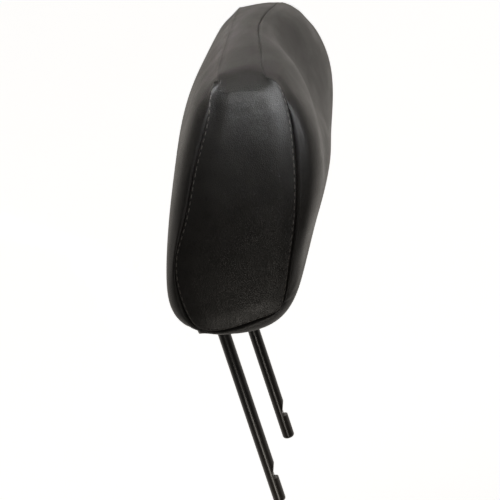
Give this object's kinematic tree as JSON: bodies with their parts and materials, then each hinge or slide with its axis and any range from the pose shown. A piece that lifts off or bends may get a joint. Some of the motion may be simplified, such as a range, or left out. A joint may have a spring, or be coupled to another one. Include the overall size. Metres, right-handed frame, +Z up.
{
  "type": "chair headrest attachment",
  "caption": "Padded leather chair headrest with a dished front and a raised wing at each side, tilting on a tube across round steel posts that plug into a backrest.",
  "frame": {"origin": "midway between the tips of the two posts, at the level of the tips", "axes": "+Z up the posts, -Y towards the sitter's head, +X to the right when the headrest is looked at from its front"},
  "size_m": [0.2744, 0.1506, 0.369],
  "materials": {
    "post_paint": "satin",
    "plated_steel": "satin",
    "nylon": "satin",
    "board_wood": "matte",
    "pad_rubber": "matte",
    "moulded_foam": "matte",
    "leather": "satin",
    "black_plastic": "satin"
  },
  "bodies": {
    "posts": {"left_post": "post_paint", "right_post": "post_paint", "cross_tube": "post_paint", "stop_collar": "plated_steel"},
    "pillow": {"left_bush": "nylon", "right_bush": "nylon", "left_clamp": "plated_steel", "right_clamp": "plated_steel", "left_upper_screw": "plated_steel", "left_lower_screw": "plated_steel", "right_upper_screw": "plated_steel", "right_lower_screw": "plated_steel", "left_upper_tee_nut": "plated_steel", "left_lower_tee_nut": "plated_steel", "right_upper_tee_nut": "plated_steel", "right_lower_tee_nut": "plated_steel", "backing_board": "board_wood", "lower_stop_pad": "pad_rubber", "upper_stop_pad": "pad_rubber", "front_foam": "moulded_foam", "rear_foam": "moulded_foam", "front_cover": "leather", "back_cover": "leather", "side_gusset": "leather", "front_closure_strip": "black_plastic", "rear_closure_strip": "black_plastic", "left_slot_bezel": "black_plastic", "right_slot_bezel": "black_plastic"}
  },
  "joints": [
    {"name": "pillow_tilt", "type": "hinge", "parent": "posts", "child": "pillow", "pos_m": [0, 0, 0.222], "axis": [1, 0, 0], "range_deg": [0, 20]}
  ]
}
